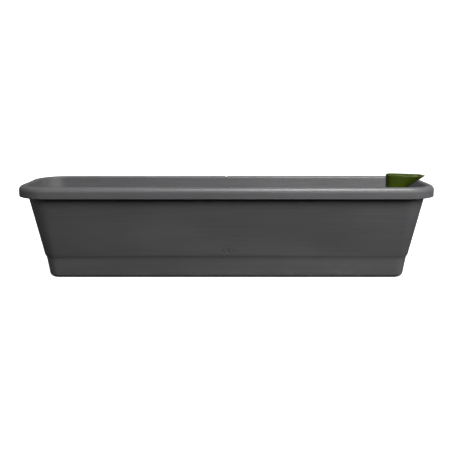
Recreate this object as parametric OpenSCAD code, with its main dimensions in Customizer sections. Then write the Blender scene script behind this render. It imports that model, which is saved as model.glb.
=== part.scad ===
// Self-watering window trough: a moulded planter box with a false floor over a water reservoir,
// soil-filled wick cups that hang into the water, a fill tube with a swivelling funnel,
// and two overflow plugs in the back wall.
// Frame: +X along the trough, +Y to the back, +Z up; origin at the middle of the standing face.

/* [Trough] */
// Length over the rim
trough_l = 790; // [780:5:860]
// Width over the rim
trough_w = 195; // [190:1:210]
// Height to the top of the rim
trough_h = 180; // [176:1:190]
// Thickness of the moulded walls
wall = 2.5; // [2.2:0.1:2.8]
// Inward lean of the end walls, per mm of height
end_draft = 0.230; // [0.22:0.005:0.24]
// Inward lean of the long walls, per mm of height
side_draft = 0.115; // [0.11:0.005:0.125]
// Height at which the walls step in around the reservoir
step_top = 45.5; // [45:0.5:46]
// How far the walls step in
step_depth = 1.8; // [1.5:0.1:2]
// Height of the foot ring under the floor
foot_h = 4; // [3:0.5:4]

/* [Rim] */
// Outer corner radius of the rim
rim_r = 61; // [60:1:64]
// Height of the rim's outer skirt
rim_skirt = 21; // [20:0.5:21.5]
// How far the rim stands out from the wall below it
rim_overhang = 16.2; // [16:0.1:16.5]
// Width of the tie notch in the middle of each long rim
notch_w = 5; // [4:0.5:6]

/* [False floor] */
// Height of the false floor's top face
plate_top = 44; // [43.5:0.1:44]
// Thickness of the false floor
plate_t = 2.5; // [2:0.1:2.8]
// Diameter of the air and drain holes
drain_d = 6; // [4:0.5:7]
// Distance between the air holes
drain_pitch = 22; // [20:1:24]

/* [Wick cups] */
// Radius of a cup's body where it passes the false floor
cup_r = 26.5; // [25:0.5:27]
// Radius of a cup's closed end
cup_foot_r = 20; // [18:0.5:22]
// Thickness of a cup's wall
cup_wall = 1.8; // [1.5:0.1:2]
// Number of slots round a cup
cup_slots = 8; // [6:1:10]

/* [Filler] */
// Distance of the fill tube from the middle, along the trough
filler_x = 322; // [318:1:323]
// Distance of the fill tube in front of the middle
filler_y = -36; // [-38:1:-34]
// Height of the funnel's mouth
mouth_z = 198; // [194:0.5:200]
// Turn of the funnel's nose towards the front, in degrees
funnel_turn = 18; // [0:1:45]
// Outer radius of the fill tube
tube_r = 16; // [15:0.5:16]
// Length of the funnel's nose beyond the tube's axis
nose_u = 54.5; // [50:0.5:56]
// Half the width of the funnel's mouth
mouth_v = 19; // [18:0.5:20]

/* [Overflow] */
// Radius of the overflow plug's shank
plug_r = 5; // [4:0.5:5.5]
// Distance of each plug from the middle, along the trough
plug_x = 285; // [260:5:290]
// Height of the plugs' axis
plug_z = 30; // [29:0.5:30]

/* [Hidden] */

anthracite = [0.27, 0.27, 0.28];
black = [0.10, 0.10, 0.11];
leaf_green = [0.25, 0.31, 0.07];
seal_black = [0.05, 0.05, 0.05];

eps = 0.01;
$fn = 64;

// --- Trough ---------------------------------------------------------------

rim_z = trough_h - rim_skirt;      // lower edge of the rim's skirt
step_low = step_top - 14;          // where the step has run out
floor_z = foot_h + wall;           // upper face of the trough's floor
low_end_draft = 0.168;             // lean of the walls below the step
low_side_draft = 0.10;
corner_lean = 0.155;               // loss of corner radius per mm below the rim
corner_steps = 12;                 // facets in each corner
foot_w = 4;                        // flat width of the foot ring
crown_i = 9.5;                     // inset of the rim's highest line
crown_h = 10;                      // height of the rim's outer rounding
edge_r = 0.6;                      // broken edge of the skirt
bottom_r = 8;                      // rounding from the foot ring up to the wall
lip_drop = 4;                      // height of the rim's inner rounding

// Inset of the outer wall from the rim's outer face, at height z
function inset(z, draft, low_draft) =
    let(
        at_step = rim_overhang + draft * (rim_z - step_top),
        s = min(1, max(0, (step_top - z) / (step_top - step_low)))
    )
    z >= step_top
        ? rim_overhang + draft * (rim_z - z)
        : at_step + low_draft * (step_top - z) + step_depth * (1 - pow(1 - s, 3));
function end_inset(z) = inset(z, end_draft, low_end_draft);
function side_inset(z) = inset(z, side_draft, low_side_draft);
function wall_corner(z) = rim_r - rim_overhang - corner_lean * (rim_z - z);

// Half length, half width and corner radius of the trough's inside at height z
function inner_l(z) = trough_l / 2 - end_inset(z) - wall;
function inner_w(z) = trough_w / 2 - side_inset(z) - wall;
function inner_corner(z) = wall_corner(z) - wall;

// A station is [half length, half width, corner radius, height]
function wall_station(z, thick) =
    [trough_l / 2 - end_inset(z) - thick, trough_w / 2 - side_inset(z) - thick, wall_corner(z) - thick, z];
function rim_station(i, z) = [trough_l / 2 - i, trough_w / 2 - i, rim_r - i, z];

// A rounded rectangle of points, counter-clockwise, for one station
function ring(s) = [
    for (k = [0:3], i = [0:corner_steps])
        let(t = 90 * (k + i / corner_steps))
        [
            (k == 0 || k == 3 ? 1 : -1) * (s[0] - s[2]) + s[2] * cos(t),
            (k < 2 ? 1 : -1) * (s[1] - s[2]) + s[2] * sin(t),
            s[3]
        ]
];

// A closed solid through a list of stations, the first and last one capped
module loft(stations) {
    n = 4 * (corner_steps + 1);
    last = len(stations) - 1;
    polyhedron(
        points = [for (s = stations) each ring(s)],
        faces = concat(
            [[for (j = [0:n - 1]) j]],
            [
                for (i = [0:last - 1], j = [0:n - 1])
                    let(p = i * n + j, q = i * n + (j + 1) % n)
                    each [[p, p + n, q], [q, p + n, q + n]]
            ],
            [[for (j = [n - 1:-1:0]) last * n + j]]
        )
    );
}

// Round from the foot ring up to the outer wall; t is 0 at the wall and 90 at the ground
function bottom_station(t) = wall_station(bottom_r * (1 - sin(t)), bottom_r * (1 - cos(t)));

// From the underside panel out over the foot ring and up the outer wall
outer_stations = concat(
    [wall_station(foot_h, bottom_r + foot_w), wall_station(0, bottom_r + foot_w)],
    [for (t = [90:-15:0]) bottom_station(t)],
    [for (z = [step_low:3.5:step_top]) wall_station(z, 0)],
    [wall_station(trough_h - 6, 0)]
);

// Round the hollow under the rim and over its crown, in profile [inset, height]
pocket_arc = [
    for (t = [90:30:180])
        [crown_i + (crown_i - wall) * cos(t), trough_h - crown_h + (crown_h - wall) * sin(t)]
];
crown_arc = [
    for (t = [180:-15:90])
        [crown_i + crown_i * cos(t), trough_h - crown_h + crown_h * sin(t)]
];
rim_stations = [
    for (p = concat(
        pocket_arc,
        [[wall, rim_z + edge_r], [wall - edge_r, rim_z], [edge_r, rim_z], [0, rim_z + edge_r]],
        crown_arc
    ))
        rim_station(p[0], p[1])
];

// Down the inner wall to the floor
crown = rim_station(crown_i, trough_h);
lip_in = wall_station(trough_h - lip_drop, wall);
lip_stations = [
    for (t = [67.5:-22.5:0])
        [for (k = [0:2]) crown[k] + (lip_in[k] - crown[k]) * cos(t), trough_h - lip_drop * (1 - sin(t))]
];
inner_stations = concat(
    lip_stations,
    [for (z = [step_top:-3.5:step_low]) wall_station(z, wall)],
    [
        wall_station(floor_z + 5, wall),
        wall_station(floor_z + 1.6, wall + 1.6),
        wall_station(floor_z, wall + 5)
    ]
);

// Plates under the rim that tie its skirt to the wall
rim_rib_pitch = 60;                // along the long sides
rim_rib_end = 28;                  // across the ends
module rim_ribs() {
    rib_t = 1.8;
    rib_z = rim_z + 4.5;
    rib_top = trough_h - 8.5;
    side_in = rim_overhang;        // reach of the plates, just into the wall
    end_in = rim_overhang - 0.9;
    for (side = [-1, 1]) {
        for (x = [for (i = [-5:5]) if (i != 0) i * rim_rib_pitch])
                translate([x - rib_t / 2, side > 0 ? trough_w / 2 - side_in : 1 - trough_w / 2, rib_z])
                    cube([rib_t, side_in - 1, rib_top - rib_z]);
        for (y = [-rim_rib_end, 0, rim_rib_end])
            translate([side > 0 ? trough_l / 2 - end_in : 1 - trough_l / 2, y - rib_t / 2, rib_z])
                cube([end_in - 1, rib_t, rib_top - rib_z]);
    }
}

// Thicker stretch of rim under each tie notch
module notch_blocks() {
    block_w = notch_w + 5;
    block_out = 4.5;               // inside the rim's skin, under its crown
    block_in = rim_overhang - 0.3;
    for (side = [-1, 1])
        translate([-block_w / 2, side > 0 ? trough_w / 2 - block_in : block_out - trough_w / 2, rim_z + 8])
            cube([block_w, block_in - block_out, rim_skirt - 8 - 2]);
}

module notch_cuts() {
    for (side = [-1, 1])
        translate([0, side * (trough_w / 2 - 4.5), trough_h - 1])
            rotate([side * 90, 0, 0])
                cylinder(r = notch_w / 2, h = 14);
}

// Seat of an overflow plug: a round pad on the back wall
boss_r = plug_r + 3;
boss_y = trough_w / 2 - side_inset(plug_z + boss_r) + 1;
boss_in = inner_w(plug_z - boss_r) + 0.6;
bore_r = plug_r + 0.05;

module plug_bosses() {
    for (side = [-1, 1])
        translate([side * plug_x, boss_in, plug_z])
            rotate([-90, 0, 0])
                cylinder(r = boss_r, h = boss_y - boss_in);
}

module plug_bores() {
    for (side = [-1, 1])
        translate([side * plug_x, boss_in - 5, plug_z])
            rotate([-90, 0, 0])
                cylinder(r = bore_r, h = boss_y - boss_in + 6);
}

module trough() {
    color(anthracite)
        difference() {
            union() {
                loft(concat(outer_stations, rim_stations, inner_stations));
                rim_ribs();
                notch_blocks();
                plug_bosses();
            }
            notch_cuts();
            plug_bores();
        }
}

// --- False floor ----------------------------------------------------------

plate_low = plate_top - plate_t;
skirt_low = plate_low - 2;                 // lower edge of the plate's turned-down border
plate_gap = 0.5;                           // room between the plate and the trough
plate_l = inner_l(plate_low) - plate_gap;  // reach of the plate from the middle
plate_w = inner_w(plate_low) - plate_gap;  // half width of the plate
plate_r = inner_corner(plate_low) - plate_gap;
skirt_in = inner_l(plate_low) - inner_l(skirt_low) + 0.3;
halves_gap = 0.75;                         // half the gap between the two plates
cup_x = [95, 250];                         // places of the cups along a plate
leg_x = [14, 172, 322];                    // places of the legs along a plate
leg_y = 44;
leg_r = 5;
rib_y = 33;                                // places of the stiffening ribs under the plate
cross_x = [51, 205, 293];                   // between two columns of drain holes
rib_h = 5;
rib_t = 1.6;
socket_r = tube_r + 0.3;                   // hole for the fill tube
collar_h = 10;

// Half of a rounded rectangle that is l long from the middle and 2 w wide
module half_outline(l, w, r, from = 0) {
    translate([from, -w])
        square([l - r - from, 2 * w]);
    translate([from, -(w - r)])
        square([l - from, 2 * (w - r)]);
    for (side = [-1, 1])
        translate([l - r, side * (w - r)])
            circle(r = r);
}

// The leg in the fill tube's place is left out
function leg_stands(x, side, has_socket) = !(has_socket && side < 0 && abs(x - filler_x) < 25);

function near_leg(x, y) =
    max([for (lx = leg_x, ly = [-leg_y, leg_y]) norm([x - lx, y - ly]) < leg_r + drain_d / 2 + 2 ? 1 : 0]);
function near_cup(x, y) =
    max([for (cx = cup_x) norm([x - cx, y]) < cup_r + 5.5 + drain_d / 2 + 1 ? 1 : 0]);
function near_tube(x, y, has_socket) =
    has_socket && norm([x - filler_x, y - filler_y]) < socket_r + 4 + drain_d / 2 ? 1 : 0;

module drain_holes(has_socket) {
    for (i = [0:14], j = [-2:2]) {
        x = 18 + i * drain_pitch;
        y = j * drain_pitch;
        taken = near_leg(x, y) + near_cup(x, y) + near_tube(x, y, has_socket);
        if (taken == 0 && x < plate_l - 8)
            translate([x, y, plate_low - 1])
                cylinder(d = drain_d, h = plate_t + 2, $fn = 24);
    }
}

module plate_half(has_socket) {
    border_l = plate_l - skirt_in;
    border_w = plate_w - skirt_in;
    border_r = plate_r - skirt_in;
    difference() {
        union() {
            translate([0, 0, plate_low])
                linear_extrude(plate_t)
                    half_outline(plate_l, plate_w, plate_r, halves_gap);
            // turned-down border
            translate([0, 0, skirt_low])
                linear_extrude(plate_low - skirt_low)
                    difference() {
                        half_outline(border_l, border_w, border_r, halves_gap);
                        half_outline(border_l - 2, border_w - 2, border_r - 2, halves_gap + 2);
                    }
            // stiffening ribs
            for (side = [-1, 1])
                translate([halves_gap + 1, side * rib_y - rib_t / 2, plate_low - rib_h])
                    cube([plate_l - 24, rib_t, rib_h + eps]);
            for (x = cross_x)
                translate([x - rib_t / 2, -rib_y, plate_low - rib_h])
                    cube([rib_t, 2 * rib_y, rib_h + eps]);
            // legs that stand on the trough's floor
            for (x = leg_x, side = [-1, 1])
                if (leg_stands(x, side, has_socket))
                    translate([x, side * leg_y, floor_z + 0.1])
                        cylinder(r = leg_r, h = plate_low - floor_z);
            if (has_socket)
                translate([filler_x, filler_y, plate_low - 5])
                    cylinder(r = socket_r + 2.5, h = plate_t + collar_h + 5);
        }
        for (x = cup_x)
            translate([x, 0, skirt_low - 5])
                cylinder(r = cup_r + 0.5, h = plate_t + 12);
        if (has_socket)
            translate([filler_x, filler_y, skirt_low - 10])
                cylinder(r = socket_r, h = 40);
        drain_holes(has_socket);
        // the legs are hollow, open at the top
        for (x = leg_x, side = [-1, 1])
            if (leg_stands(x, side, has_socket))
                translate([x, side * leg_y, floor_z + 2.5])
                    cylinder(r = leg_r - 2, h = plate_top);
    }
}

module reservoir_plate_left() {
    color(black)
        mirror([1, 0, 0])
            plate_half(false);
}

module reservoir_plate_right() {
    color(black)
        plate_half(true);
}

// --- Wick cups ------------------------------------------------------------

cup_low = floor_z + 4.5;            // water passes under the cups
cup_flange_r = cup_r + 4.5;
cup_flange_t = 2;
cup_slot_w = 3;

module wick_cup(x) {
    cup_lean = (cup_r - cup_foot_r) / (plate_top - cup_low);
    color(black)
        translate([x, 0, 0])
            difference() {
                rotate_extrude($fn = 72)
                    polygon([
                        [0, cup_low],
                        [cup_foot_r, cup_low],
                        [cup_r, plate_top],
                        [cup_flange_r, plate_top],
                        [cup_flange_r, plate_top + cup_flange_t],
                        [cup_r - cup_wall, plate_top + cup_flange_t],
                        [cup_foot_r - cup_wall + cup_lean * 2, cup_low + 2],
                        [0, cup_low + 2]
                    ]);
                for (i = [0:cup_slots - 1])
                    rotate([0, 0, 360 * (i + 0.5) / cup_slots])
                        translate([cup_foot_r - 6, -cup_slot_w / 2, cup_low + 6])
                            cube([14, cup_slot_w, 20]);
                for (i = [0:5])
                    rotate([0, 0, 60 * i])
                        translate([11, 0, cup_low - 1])
                            cylinder(r = 2, h = 4, $fn = 24);
            }
}

module wick_cup_outer_left() { wick_cup(-cup_x[1]); }
module wick_cup_inner_left() { wick_cup(-cup_x[0]); }
module wick_cup_inner_right() { wick_cup(cup_x[0]); }
module wick_cup_outer_right() { wick_cup(cup_x[1]); }

// --- Filler ---------------------------------------------------------------

tube_wall = 2;
tube_low = plate_low - 5;           // level with the collar's foot, above the water
throat_z = mouth_z - 29;          // where the funnel's sloping side starts
tube_top = throat_z - 6;
collar_top = plate_low + plate_t + collar_h;
spigot_r = tube_r - tube_wall - 0.05;
spigot_l = 18;
shell = 2;

module filler_tube() {
    color(leaf_green)
        translate([filler_x, filler_y, 0])
            difference() {
                union() {
                    translate([0, 0, tube_low])
                        cylinder(r = tube_r, h = tube_top - tube_low);
                    // stop ring that rests on the collar
                    translate([0, 0, collar_top + 0.1])
                        cylinder(r = tube_r + 3, h = 2.5);
                }
                translate([0, 0, tube_low - 1])
                    cylinder(r = tube_r - tube_wall, h = tube_top - tube_low + 2);
            }
}

// Outline of the funnel, from the tube's axis along u to the nose; cut takes it in all round
module mouth_outline(cut, nose) {
    hull() {
        for (side = [-1, 1]) {
            translate([-mouth_v + 16, side * (mouth_v - 14)])
                circle(r = 14 - cut, $fn = 32);
            translate([nose - 15, side * (mouth_v - 8)])
                circle(r = 8 - cut, $fn = 32);
        }
        translate([nose - 4, 0])
            circle(r = 4 - cut, $fn = 32);
    }
}

module throat_outline(cut) {
    translate([0.5, 0])
        offset(r = 13 - cut)
            square([2 * (17 - 13), 2 * (17.5 - 13)], center = true);
}

module slab(z, t = eps) {
    translate([0, 0, z])
        linear_extrude(t)
            children();
}

module filler_funnel() {
    color(leaf_green)
        translate([filler_x, filler_y, 0])
            rotate([0, 0, -funnel_turn])
                difference() {
                    union() {
                        hull() {
                            slab(throat_z) throat_outline(0);
                            slab(mouth_z - 1, 1) mouth_outline(0, nose_u);
                        }
                        hull() {
                            slab(tube_top + 0.1) circle(r = tube_r);
                            slab(throat_z) throat_outline(0);
                        }
                        translate([0, 0, tube_top - spigot_l])
                            cylinder(r = spigot_r, h = spigot_l + 1);
                    }
                    hull() {
                        slab(throat_z - eps) throat_outline(shell);
                        slab(mouth_z + eps, 1) mouth_outline(shell, nose_u - 1.6);
                    }
                    hull() {
                        slab(tube_top + 1.5) circle(r = spigot_r - shell);
                        slab(throat_z) throat_outline(shell);
                    }
                    translate([0, 0, tube_top - spigot_l - 1])
                        cylinder(r = spigot_r - shell, h = spigot_l + 4);
                }
}

// --- Overflow plugs -------------------------------------------------------

head_r = plug_r + 4;
head_t = 2.5;
seal_y = -2.5;               // place of the seal's groove, inside the bore
seal_r = 0.85;
groove_r = plug_r - 2 * seal_r;
plug_end = boss_y - boss_in + 3;   // the shank reaches a little into the reservoir

// A plug with its axis along +Y; the head's inner face is at y = 0
module plug_at(side) {
    translate([side * plug_x, boss_y + 0.1, plug_z])
        rotate([-90, 0, 0])
            children();
}

module overflow_plug(side) {
    color(leaf_green)
        plug_at(side)
            difference() {
                union() {
                    rotate_extrude()
                        polygon([
                            [0, -plug_end],
                            [plug_r - 1, -plug_end],
                            [plug_r, -plug_end + 1],
                            [plug_r, seal_y - 1],
                            [groove_r, seal_y - 1],
                            [groove_r, seal_y + 1],
                            [plug_r, seal_y + 1],
                            [plug_r, 0],
                            [head_r, 0],
                            [head_r, head_t - 0.8],
                            [head_r - 0.8, head_t],
                            [0, head_t]
                        ]);
                    // finger tab, across the head
                    translate([-6, -1.25, head_t - 0.5])
                        cube([12, 2.5, 8]);
                }
                // eye in the tab
                translate([0, 3, head_t + 4.2])
                    rotate([90, 0, 0])
                        cylinder(r = 1.8, h = 6, $fn = 32);
            }
}

module plug_seal(side) {
    color(seal_black)
        plug_at(side)
            translate([0, 0, seal_y])
                rotate_extrude()
                    translate([plug_r - seal_r + 0.02, 0])
                        circle(r = seal_r, $fn = 24);
}

module overflow_plug_left() { overflow_plug(-1); }
module overflow_plug_right() { overflow_plug(1); }
module plug_seal_left() { plug_seal(-1); }
module plug_seal_right() { plug_seal(1); }

trough();
reservoir_plate_left();
reservoir_plate_right();
wick_cup_outer_left();
wick_cup_inner_left();
wick_cup_inner_right();
wick_cup_outer_right();
filler_tube();
filler_funnel();
overflow_plug_left();
overflow_plug_right();
plug_seal_left();
plug_seal_right();
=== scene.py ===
from math import cos, pi, radians, sin

import bmesh
import bpy
from mathutils import Matrix, Vector


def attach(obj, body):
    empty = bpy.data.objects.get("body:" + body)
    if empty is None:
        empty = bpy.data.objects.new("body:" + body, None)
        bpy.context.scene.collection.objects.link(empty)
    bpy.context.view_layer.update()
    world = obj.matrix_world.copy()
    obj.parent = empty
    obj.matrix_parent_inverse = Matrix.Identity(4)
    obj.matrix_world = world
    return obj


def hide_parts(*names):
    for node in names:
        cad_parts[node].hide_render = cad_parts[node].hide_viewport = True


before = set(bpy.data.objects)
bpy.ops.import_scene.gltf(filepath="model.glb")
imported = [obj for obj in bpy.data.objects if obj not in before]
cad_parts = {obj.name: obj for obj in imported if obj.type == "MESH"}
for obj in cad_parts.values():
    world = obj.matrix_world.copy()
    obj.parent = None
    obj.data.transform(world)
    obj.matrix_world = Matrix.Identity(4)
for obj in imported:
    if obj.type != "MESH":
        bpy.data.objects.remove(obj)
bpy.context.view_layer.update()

# ---------------------------------------------------------------------------
# Trough: one injection moulding in dyed polypropylene, open at the top. The walls lean in towards
# the ground and step in once around the reservoir; the rim is rolled over and hangs down outside
# as a skirt. It stands on a narrow foot ring.
# ---------------------------------------------------------------------------

MM = 0.001
trough_l, trough_w, trough_h = 790, 195, 180
wall = 2.5
end_draft, low_end_draft = 0.230, 0.168
side_draft, low_side_draft = 0.115, 0.10
step_top, step_low, step_depth = 45.5, 31.5, 1.8
foot_h, foot_w, bottom_r = 4, 4, 8
rim_r, rim_skirt, rim_overhang = 61, 21, 16.2
rim_z = trough_h - rim_skirt
corner_lean = 0.155
crown_i, crown_h, lip_drop, edge_r = 9.5, 10, 4, 0.6
floor_z = foot_h + wall
corner_steps = 24


def inset(z, draft, low_draft):
    """How far the outer wall stands inside the rim's outer face at height z."""
    if z >= step_top:
        return rim_overhang + draft * (rim_z - z)
    run = min(1, (step_top - z) / (step_top - step_low))
    at_step = rim_overhang + draft * (rim_z - step_top)
    return at_step + low_draft * (step_top - z) + step_depth * (1 - (1 - run) ** 3)


def wall_station(z, thick):
    """[half length, half width, corner radius, height] of the wall, thick mm inside its face."""
    return [
        trough_l / 2 - inset(z, end_draft, low_end_draft) - thick,
        trough_w / 2 - inset(z, side_draft, low_side_draft) - thick,
        rim_r - rim_overhang - corner_lean * (rim_z - z) - thick,
        z,
    ]


def rim_station(inward, z):
    """The same for the rim, inward mm inside its outer face."""
    return [trough_l / 2 - inward, trough_w / 2 - inward, rim_r - inward, z]


def ring(station):
    """A rounded rectangle of points, counter-clockwise."""
    half_l, half_w, radius, z = station
    points = []
    for k in range(4):
        across = 1 if k in (0, 3) else -1
        along = 1 if k < 2 else -1
        for i in range(corner_steps + 1):
            t = pi / 2 * (k + i / corner_steps)
            points.append((
                across * (half_l - radius) + radius * cos(t),
                along * (half_w - radius) + radius * sin(t),
                z,
            ))
    return points


def steps(first, last, count):
    """Even steps from first to last, both included."""
    return [first + (last - first) * i / count for i in range(count + 1)]


def loft(name, rings, closed=False):
    """A skin through rings of equal length; capped at both ends, or joined end to start."""
    bm = bmesh.new()
    rows = [[bm.verts.new(Vector(p) * MM) for p in points] for points in rings]
    pairs = list(zip(rows, rows[1:])) + ([(rows[-1], rows[0])] if closed else [])
    count = len(rows[0])
    for low, high in pairs:
        for j in range(count):
            k = (j + 1) % count
            bm.faces.new((low[j], low[k], high[k], high[j]))
    if not closed:
        bm.faces.new(list(reversed(rows[0])))
        bm.faces.new(rows[-1])
    bmesh.ops.remove_doubles(bm, verts=bm.verts, dist=1e-6)
    bmesh.ops.recalc_face_normals(bm, faces=bm.faces)
    mesh = bpy.data.meshes.new(name)
    bm.to_mesh(mesh)
    bm.free()
    piece = bpy.data.objects.new(name, mesh)
    bpy.context.scene.collection.objects.link(piece)
    return piece


def smooth(piece, angle=32):
    """Smooth shading, left sharp where two faces meet at more than the angle."""
    piece.data.polygons.foreach_set("use_smooth", [True] * len(piece.data.polygons))
    piece.data.set_sharp_from_angle(angle=radians(angle))


def evaluated(piece):
    """The piece's modifiers turned into its plain mesh."""
    graph = bpy.context.evaluated_depsgraph_get()
    mesh = bpy.data.meshes.new_from_object(piece.evaluated_get(graph))
    piece.modifiers.clear()
    piece.data = mesh


def rod(name, start, along, radius, length, sides=48):
    """A plain round bar; start is one end of its axis."""
    bm = bmesh.new()
    bmesh.ops.create_cone(bm, cap_ends=True, segments=sides, radius1=radius * MM, radius2=radius * MM,
                          depth=length * MM)
    turn = Vector((0, 0, 1)).rotation_difference(Vector(along)).to_matrix().to_4x4()
    middle = Vector(start) + Vector(along) * length / 2
    bmesh.ops.transform(bm, matrix=Matrix.Translation(middle * MM) @ turn, verts=bm.verts)
    mesh = bpy.data.meshes.new(name)
    bm.to_mesh(mesh)
    bm.free()
    bar = bpy.data.objects.new(name, mesh)
    bpy.context.scene.collection.objects.link(bar)
    return bar


def combine(piece, others, operation):
    """Joins the others to the piece, or cuts them out of it."""
    for other in others:
        change = piece.modifiers.new(other.name, "BOOLEAN")
        change.operation, change.object, change.solver = operation, other, "EXACT"
        evaluated(piece)
        bpy.data.objects.remove(other)


bottom_facets, step_facets, hollow_facets, crown_facets, lip_facets = 10, 10, 8, 16, 8
outer = [wall_station(foot_h, bottom_r + foot_w), wall_station(0, bottom_r + foot_w)]
for t in steps(90, 0, bottom_facets):
    outer.append(wall_station(bottom_r * (1 - sin(radians(t))), bottom_r * (1 - cos(radians(t)))))
outer += [wall_station(z, 0) for z in steps(step_low, step_top, step_facets)]
wall_top = trough_h - 6  # the outer wall ends inside the hollow of the rim
outer.append(wall_station(wall_top, 0))

rim = []
crown_z = trough_h - crown_h
for t in steps(90, 180, hollow_facets):
    a = radians(t)
    rim.append(rim_station(crown_i + (crown_i - wall) * cos(a), crown_z + (crown_h - wall) * sin(a)))
for inward, z in ((wall, rim_z + edge_r), (wall - edge_r, rim_z), (edge_r, rim_z), (0, rim_z + edge_r)):
    rim.append(rim_station(inward, z))
for t in steps(180, 90, crown_facets):
    a = radians(t)
    rim.append(rim_station(crown_i + crown_i * cos(a), crown_z + crown_h * sin(a)))

crown, lip = rim_station(crown_i, trough_h), wall_station(trough_h - lip_drop, wall)
inner = []
for t in steps(80, 0, lip_facets):
    a = radians(t)
    section = [c + (w - c) * cos(a) for c, w in zip(crown[:3], lip[:3])]
    inner.append(section + [trough_h - lip_drop * (1 - sin(a))])
inner += [wall_station(z, wall) for z in steps(step_top, step_low, step_facets)]
corner_r, corner_mid = 5, 1.6  # the corner between wall and floor, rounded in two facets
inner.append(wall_station(floor_z + corner_r, wall))
inner.append(wall_station(floor_z + corner_mid, wall + corner_mid))
inner.append(wall_station(floor_z, wall + corner_r))

trough = loft("trough_shell", [ring(s) for s in outer + rim + inner])

# Two pads on the back wall carry the overflow holes; two small grooves cross the long rims.
plug_r, plug_x, plug_z = 5, 285, 30
pad_r = plug_r + 3
bore_r, bore_l = plug_r + 0.05, 12
groove_r, groove_l, groove_in = 2.5, 14, 4.5
backward, round_sides = (0, 1, 0), 64
pad_out = wall_station(plug_z + pad_r, 0)[1] + 1
pad_in = wall_station(plug_z - pad_r, wall)[1] + 0.6
pads = [
    rod("pad", (side * plug_x, pad_in, plug_z), backward, pad_r, pad_out - pad_in, round_sides)
    for side in (-1, 1)
]
combine(trough, pads, "UNION")
bores = [
    rod("bore", (side * plug_x, pad_in - 5, plug_z), backward, bore_r, bore_l, round_sides)
    for side in (-1, 1)
]
grooves = [
    rod("groove", (0, side * (trough_w / 2 - groove_in), trough_h - 1), (0, -side, 0), groove_r, groove_l)
    for side in (-1, 1)
]
combine(trough, bores + grooves, "DIFFERENCE")

# A water sign, three drops sunk a little into the lower front wall by the mould.
sign_x, sign_z, sunk, bevel = 3, 57, 0.9, 0.3
drop_levels = ((0, -1), (0, sunk - bevel), (bevel, sunk))


def drop_outline(x, high, cut, depth):
    """A drop lying on the leaning front wall, taken in by cut and depth mm into its face."""
    sides, fullness, taper = 40, 0.36, 1.3
    points = []
    for i in range(sides):
        t = 2 * pi * i / sides
        slim = max(0, fullness * high * sin(t / 2) ** taper - cut) * sin(t)
        up = sign_z + (0.5 * high - cut) * cos(t)
        points.append((sign_x + x + slim, depth - wall_station(up, 0)[1], up))
    return points


drops = [
    loft("drop", [drop_outline(x, high, cut, depth) for cut, depth in drop_levels])
    for x, high in ((-9.5, 9), (0, 13), (9.5, 9))
]
combine(trough, drops, "DIFFERENCE")
smooth(trough)


def linear(hex_colour):
    """An sRGB hex colour as linear RGBA."""
    parts = [int(hex_colour[i:i + 2], 16) / 255 for i in (1, 3, 5)]
    return [c / 12.92 if c <= 0.04045 else ((c + 0.055) / 1.055) ** 2.4 for c in parts] + [1]


def add(tree, kind, inputs=None, **settings):
    """Adds a node, sets it, and fills or links its inputs."""
    made = tree.nodes.new(kind)
    for name, value in settings.items():
        setattr(made, name, value)
    for key, value in (inputs or {}).items():
        if isinstance(value, bpy.types.NodeSocket):
            tree.links.new(value, made.inputs[key])
        else:
            made.inputs[key].default_value = value
    return made


def moulded(name, dark, light, dusty, rough, gloss, grain_mm, grain_depth_mm, dust_top_mm):
    """Moulded plastic: its colour drifts a little along the melt flow, an eroded-mould grain breaks
    up the gloss, and fine scuffs from handling and standing lie lowest on the piece."""
    flow_mm = (160, 160, 70)  # the melt ran mostly along the piece, so its streaks are long and low
    draw_mm = (120, 120, 2.5)  # faint level lines left by the melt front
    scuff_mm = (17, 17, 3.4)  # rubs from being slid about, longer than they are high
    draw_share, worn_share, rough_swing = 0.45, 0.35, 0.08
    material = bpy.data.materials.new(name)
    material.use_nodes = True
    tree = material.node_tree
    tree.nodes.clear()
    place = add(tree, "ShaderNodeTexCoord").outputs["Object"]

    def noise(size_mm, detail):
        scale = [1 / (size * MM) for size in size_mm]
        stretched = add(tree, "ShaderNodeMapping", {"Vector": place, "Scale": scale}).outputs[0]
        settings = {"Vector": stretched, "Scale": 1.0, "Detail": detail}
        return add(tree, "ShaderNodeTexNoise", settings).outputs[0]

    def spread(value, low, high, to_low, to_high):
        return add(tree, "ShaderNodeMapRange", {0: value, 1: low, 2: high, 3: to_low, 4: to_high}).outputs[0]

    def blended(share, first, second):
        return add(tree, "ShaderNodeMix", {0: share, 6: first, 7: second}, data_type="RGBA").outputs[2]

    streaks = {0: draw_share, 2: noise(flow_mm, 4.0), 3: noise(draw_mm, 3.0)}
    drift = add(tree, "ShaderNodeMix", streaks).outputs[0]
    base = blended(spread(drift, 0.35, 0.65, 0.0, 1.0), linear(dark), linear(light))
    height = add(tree, "ShaderNodeSeparateXYZ", {0: place}).outputs["Z"]
    low_down = spread(height, 0.0, dust_top_mm * MM, 1.0, 0.0)
    rubbed = spread(noise(scuff_mm, 6.0), 0.55, 0.75, 0.0, worn_share)
    worn = add(tree, "ShaderNodeMath", {0: rubbed, 1: low_down}, operation="MULTIPLY").outputs[0]
    grain = noise((grain_mm,) * 3, 2.0)
    depth = grain_depth_mm * MM
    bump = add(tree, "ShaderNodeBump", {"Height": grain, "Strength": 1.0, "Distance": depth})
    shader = add(tree, "ShaderNodeBsdfPrincipled", {
        "Base Color": blended(worn, base, linear(dusty)),
        "Roughness": spread(grain, 0.3, 0.7, rough - rough_swing, rough + rough_swing),
        "Normal": bump.outputs[0],
        "IOR": 1.49,
        "Specular IOR Level": gloss,
    })
    add(tree, "ShaderNodeOutputMaterial", {"Surface": shader.outputs[0]})
    return material


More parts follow.
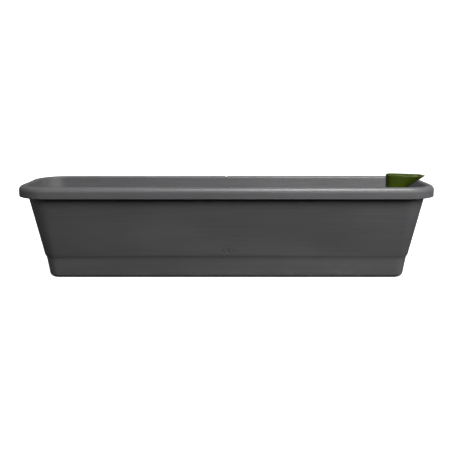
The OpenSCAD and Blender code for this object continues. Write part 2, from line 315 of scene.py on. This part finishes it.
# Polypropylene from a spark-eroded mould: an even satin, soft wide highlights, no sharp reflection.
# The real grain is about 0.5 mm and would vanish; it is drawn at 1.6 mm so that it shows.
anthracite = moulded("moulded_polypropylene_anthracite", "#353536", "#3d3d3e", "#6a6966", 0.42, 0.5,
                      1.6, 0.07, 22)
trough.data.materials.clear()
trough.data.materials.append(anthracite)
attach(trough, "trough_box")
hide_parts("trough")

# ---------------------------------------------------------------------------
# Rim plates: thin plates moulded under the rim, in rows, that tie its skirt to the wall. They are
# seen only from below.
# ---------------------------------------------------------------------------

plate_thick, plate_low_z, plate_high_z = 1.8, rim_z + 4.5, trough_h - 8.5


def plate_row_tree(material):
    """A row of equal plates along a line."""
    tree = bpy.data.node_groups.new("rim_plate_row", "GeometryNodeTree")
    sockets = {}
    kinds = {"Count": "NodeSocketInt"}
    kinds |= dict.fromkeys(("Start", "Pitch", "Plate Size"), "NodeSocketVector")
    for name, kind in kinds.items():
        sockets[name] = tree.interface.new_socket(name=name, in_out="INPUT", socket_type=kind).identifier
    tree.interface.new_socket(name="Geometry", in_out="OUTPUT", socket_type="NodeSocketGeometry")
    given = add(tree, "NodeGroupInput")
    count, start, pitch, size = [given.outputs[name] for name in kinds]
    line = add(tree, "GeometryNodeMeshLine", {"Count": count, "Start Location": start, "Offset": pitch})
    plate = add(tree, "GeometryNodeMeshCube", {"Size": size})
    spots = {"Points": line.outputs[0], "Instance": plate.outputs[0]}
    row = add(tree, "GeometryNodeInstanceOnPoints", spots)
    real = add(tree, "GeometryNodeRealizeInstances", {0: row.outputs[0]})
    painted = add(tree, "GeometryNodeSetMaterial", {"Geometry": real.outputs[0], "Material": material})
    add(tree, "NodeGroupOutput", {0: painted.outputs[0]})
    return tree, sockets


row_tree, row_socket = plate_row_tree(anthracite)
middle_z = (plate_low_z + plate_high_z) / 2
plate_height = plate_high_z - plate_low_z
side_reach, end_reach = rim_overhang - 1, rim_overhang - 1.9
side_count, side_pitch, end_count, end_pitch = 5, 60, 3, 28
side_size, end_size = (plate_thick, side_reach, plate_height), (end_reach, plate_thick, plate_height)
rows = []
for side in (-1, 1):
    for end in (-1, 1):
        start = (end * side_pitch, side * (trough_w / 2 - 1 - side_reach / 2), middle_z)
        rows.append((side_count, start, (end * side_pitch, 0, 0), side_size))
    start = (side * (trough_l / 2 - 1 - end_reach / 2), -end_pitch, middle_z)
    rows.append((end_count, start, (0, end_pitch, 0), end_size))

joined = bmesh.new()
for count, start, pitch, size in rows:
    row = bpy.data.objects.new("row", bpy.data.meshes.new("row"))
    bpy.context.scene.collection.objects.link(row)
    run = row.modifiers.new("row", "NODES")
    run.node_group = row_tree
    run[row_socket["Count"]] = count
    for name, value in (("Start", start), ("Pitch", pitch), ("Plate Size", size)):
        run[row_socket[name]] = [v * MM for v in value]
    evaluated(row)
    joined.from_mesh(row.data)
    bpy.data.objects.remove(row)
rim_plates = bpy.data.objects.new("rim_plates", bpy.data.meshes.new("rim_plates"))
bpy.context.scene.collection.objects.link(rim_plates)
joined.to_mesh(rim_plates.data)
joined.free()
rim_plates.data.materials.append(anthracite)
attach(rim_plates, "trough_box")

# ---------------------------------------------------------------------------
# False floor: two flat plates with turned-down borders, ribs and hollow legs, moulded in black
# regrind. They stand loose on the trough's floor, end to end.
# ---------------------------------------------------------------------------

# Regrind polypropylene: duller and a little uneven in tone, because mixed scrap melts unevenly.
regrind = moulded("moulded_regrind_polypropylene_black", "#161617", "#1f1f20", "#4a4844", 0.55, 0.5,
                   1.6, 0.08, 30)


def finish_node(name, material):
    """Gives a CAD node its material."""
    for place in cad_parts[name].material_slots:
        place.material = material


for name in ("reservoir_plate_left", "reservoir_plate_right"):
    finish_node(name, regrind)

# ---------------------------------------------------------------------------
# Wick cups: four tapering cups with slots, dropped into the false floor by their flanges. Filled
# with soil, they stand in the water and draw it up. Same black regrind.
# ---------------------------------------------------------------------------

for name in ("wick_cup_outer_left", "wick_cup_inner_left", "wick_cup_inner_right", "wick_cup_outer_right"):
    finish_node(name, regrind)

# ---------------------------------------------------------------------------
# Filler: a straight tube that stands in the right plate's collar, and a funnel with a long nose
# pushed into its top. Both are moulded in leaf-green polypropylene.
# ---------------------------------------------------------------------------

# Dyed polypropylene, slightly glossier than the trough because its mould is polished.
leaf_green = moulded("moulded_polypropylene_leaf_green", "#212904", "#283205", "#5a613a", 0.34, 0.4,
                      1.6, 0.03, 30)
finish_node("filler_tube", leaf_green)

filler_x, filler_y, funnel_turn = 322, -36, 18
mouth_z, mouth_v, nose_u = 198, 19, 54.5
throat_z = mouth_z - 29
tube_r, tube_top = 16, throat_z - 6
seat_z = tube_top + 0.1  # the funnel's body stands just clear of the tube's end
side_top = mouth_z - 1  # a half round of 1 mm makes the lip above it
spigot_r, spigot_l, shell = 13.95, 18, 2
around = 96  # points in each outline


def outline(circles, cut, centre):
    """Points at equal angles round the hull of some circles (u, v, radius), taken in by cut."""
    points = []
    for i in range(around):
        t = 2 * pi * i / around
        # the farthest point of the hull along each direction, found by its support lines
        reach = min(
            (u * cos(s) + v * sin(s) + r - cut - centre * cos(s)) / cos(t - s)
            for s in [t + radians(k * 2) for k in range(-44, 45)]
            for u, v, r in [max(circles, key=lambda c: c[0] * cos(s) + c[1] * sin(s) + c[2])]
        )
        points.append((centre + reach * cos(t), reach * sin(t)))
    return points


# Circles (u along the nose, v across it, radius) whose hull is the outline
mouth_circles = [(-mouth_v + 16, v, 14) for v in (-5, 5)]
mouth_circles += [(nose_u - 15, v, 8) for v in (-11, 11)] + [(nose_u - 4, 0, 4)]
throat_circles = [(u, v, 13) for u in (-3.5, 4.5) for v in (-4.5, 4.5)]


def funnel_ring(points, z):
    """Points turned and moved to where the funnel stands."""
    c, s = cos(radians(-funnel_turn)), sin(radians(-funnel_turn))
    return [(filler_x + u * c - v * s, filler_y + u * s + v * c, z) for u, v in points]


def between(low, high, share):
    """The outline that lies this share of the way from low to high."""
    return [(a + (c - a) * share, b + (d - b) * share) for (a, b), (c, d) in zip(low, high)]


def funnel_side(cut):
    """Outlines and heights from the tube's top up to the mouth, taken in by cut."""
    foot = outline([(0, 0, tube_r if cut == 0 else spigot_r)], cut, 0)
    throat = outline(throat_circles, cut, 0.5)
    mouth = outline(mouth_circles, cut, 12)
    low = [(between(foot, throat, s), seat_z + (throat_z - seat_z) * s) for s in steps(0, 1, 4)]
    high = [(between(throat, mouth, s), throat_z + (side_top - throat_z) * s) for s in steps(0, 1, 10)]
    return low + high[1:]


spigot = outline([(0, 0, spigot_r)], 0, 0)
spigot_in = outline([(0, 0, spigot_r)], shell, 0)
side_out, side_in = funnel_side(0), funnel_side(shell)
lip_rows = [
    (between(side_out[-1][0], side_in[-1][0], (1 - cos(radians(t))) / 2), side_top + sin(radians(t)))
    for t in steps(0, 180, 6)[1:-1]
]
funnel_rows = [(spigot, tube_top - spigot_l), (spigot, seat_z)] + side_out + lip_rows + side_in[::-1]
funnel_rows.append((spigot_in, tube_top - spigot_l))
funnel = loft("filler_funnel_shell", [funnel_ring(points, z) for points, z in funnel_rows], closed=True)
smooth(funnel, 40)
funnel.data.materials.append(leaf_green)
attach(funnel, "funnel")
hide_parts("filler_funnel")

# ---------------------------------------------------------------------------
# Overflow plugs: green push-in plugs with a finger tab, each with a rubber ring in its groove.
# Pulled out, they let the reservoir drain through the back wall.
# ---------------------------------------------------------------------------

# Nitrile rubber: soft black, with a faint bloom and almost no gloss.
nitrile = moulded("moulded_nitrile_rubber", "#0e0e0e", "#161616", "#2a2a28", 0.7, 0.3, 1.0, 0.02, 30)
for side in ("left", "right"):
    finish_node("overflow_plug_" + side, leaf_green)
    finish_node("plug_seal_" + side, nitrile)

# ---------------------------------------------------------------------------
# Studio: a white floor that glows by itself, soft lights on every side, strongest from the front
# right, and an even white surround.
# ---------------------------------------------------------------------------

floor = bpy.data.objects.new("floor", bpy.data.meshes.new("floor"))
reach = 20
floor.data.from_pydata([(-reach, -reach, 0), (reach, -reach, 0), (reach, reach, 0), (-reach, reach, 0)], [],
                       [(0, 1, 2, 3)])
bpy.context.scene.collection.objects.link(floor)
paper = bpy.data.materials.new("studio_paper")
paper.use_nodes = True
coating = paper.node_tree.nodes["Principled BSDF"].inputs
coating["Base Color"].default_value = linear("#a0a0a0")
coating["Roughness"].default_value = 0.9
# It glows, so that it stays white all the way to the horizon and shadows on it hardly show.
coating["Emission Color"].default_value = linear("#ffffff")
coating["Emission Strength"].default_value = 0.97
floor.data.materials.append(paper)
floor.visible_diffuse = floor.visible_glossy = False  # it throws no light back up at the trough

world = bpy.data.worlds.new("surround")
world.use_nodes = True
# The surround is plain white to the eye, but it lights the trough only weakly, and from above.
seen, ambient, ground = 1.0, 0.22, 0.02
sky = world.node_tree.nodes["Background"]
sky.inputs["Color"].default_value = linear("#ffffff")
direction = add(world.node_tree, "ShaderNodeTexCoord").outputs["Generated"]
upward = add(world.node_tree, "ShaderNodeSeparateXYZ", {0: direction}).outputs["Z"]
fade = {0: upward, 1: -0.05, 2: 0.3, 3: ground, 4: ambient}
dome = add(world.node_tree, "ShaderNodeMapRange", fade)
ray = add(world.node_tree, "ShaderNodeLightPath")
either = {0: ray.outputs["Is Camera Ray"], 2: dome.outputs[0], 3: seen}
strength = add(world.node_tree, "ShaderNodeMix", either)
world.node_tree.links.new(strength.outputs[0], sky.inputs["Strength"])
bpy.context.scene.world = world


def softbox(name, place, aim, size, power, mirrored=True):
    """A soft lamp aimed at a point; unless mirrored, glossy surfaces don't reflect it."""
    lamp = bpy.data.lights.new(name, "AREA")
    lamp.shape, lamp.size, lamp.size_y, lamp.energy = "RECTANGLE", size[0], size[1], power
    box = bpy.data.objects.new(name, lamp)
    box.location = place
    box.rotation_euler = (Vector(aim) - Vector(place)).to_track_quat("-Z", "Y").to_euler()
    box.visible_glossy, box.visible_camera = mirrored, False
    bpy.context.scene.collection.objects.link(box)


softbox("key", (0.38, -0.45, 1.2), (0.18, 0, 0.1), (0.5, 0.3), 11)
softbox("top", (0.35, -0.5, 1.5), (0.15, 0, 0.1), (1.4, 0.4), 19)
softbox("side", (1.05, -1.45, 1.2), (0.1, 0, 0.1), (1.8, 1.1), 110, mirrored=False)
softbox("back", (-0.8, 1.45, 1.2), (0, 0, 0.1), (1.8, 1.1), 40, mirrored=False)
# Three low lamps stand below the rim's height, so they brighten the back and the ends but not
# the inside.
softbox("low_back", (-0.2, 1.5, 0.09), (-0.1, 0, 0.09), (1.6, 0.14), 9, mirrored=False)
softbox("low_left", (-1.5, 0, 0.09), (0, 0, 0.09), (0.8, 0.14), 9, mirrored=False)
softbox("low_right", (1.5, 0, 0.09), (0, 0, 0.09), (0.8, 0.14), 9, mirrored=False)

# Camera: a 50 mm lens 1.25 m away, looking down a little at the middle of the trough.
aim = Vector((0, 0, 0.09))
distance, down = 1.25, radians(11.4)
camera = bpy.data.objects.new("camera", bpy.data.cameras.new("camera"))
camera.data.lens, camera.data.sensor_width = 50, 36
camera.data.shift_x, camera.data.shift_y = -0.003111, 0.002222
camera.location = aim + Vector((0, -cos(down), sin(down))) * distance
camera.rotation_euler = (aim - camera.location).to_track_quat("-Z", "Y").to_euler()
bpy.context.scene.collection.objects.link(camera)
bpy.context.scene.camera = camera
bpy.context.scene.view_settings.view_transform = "Standard"
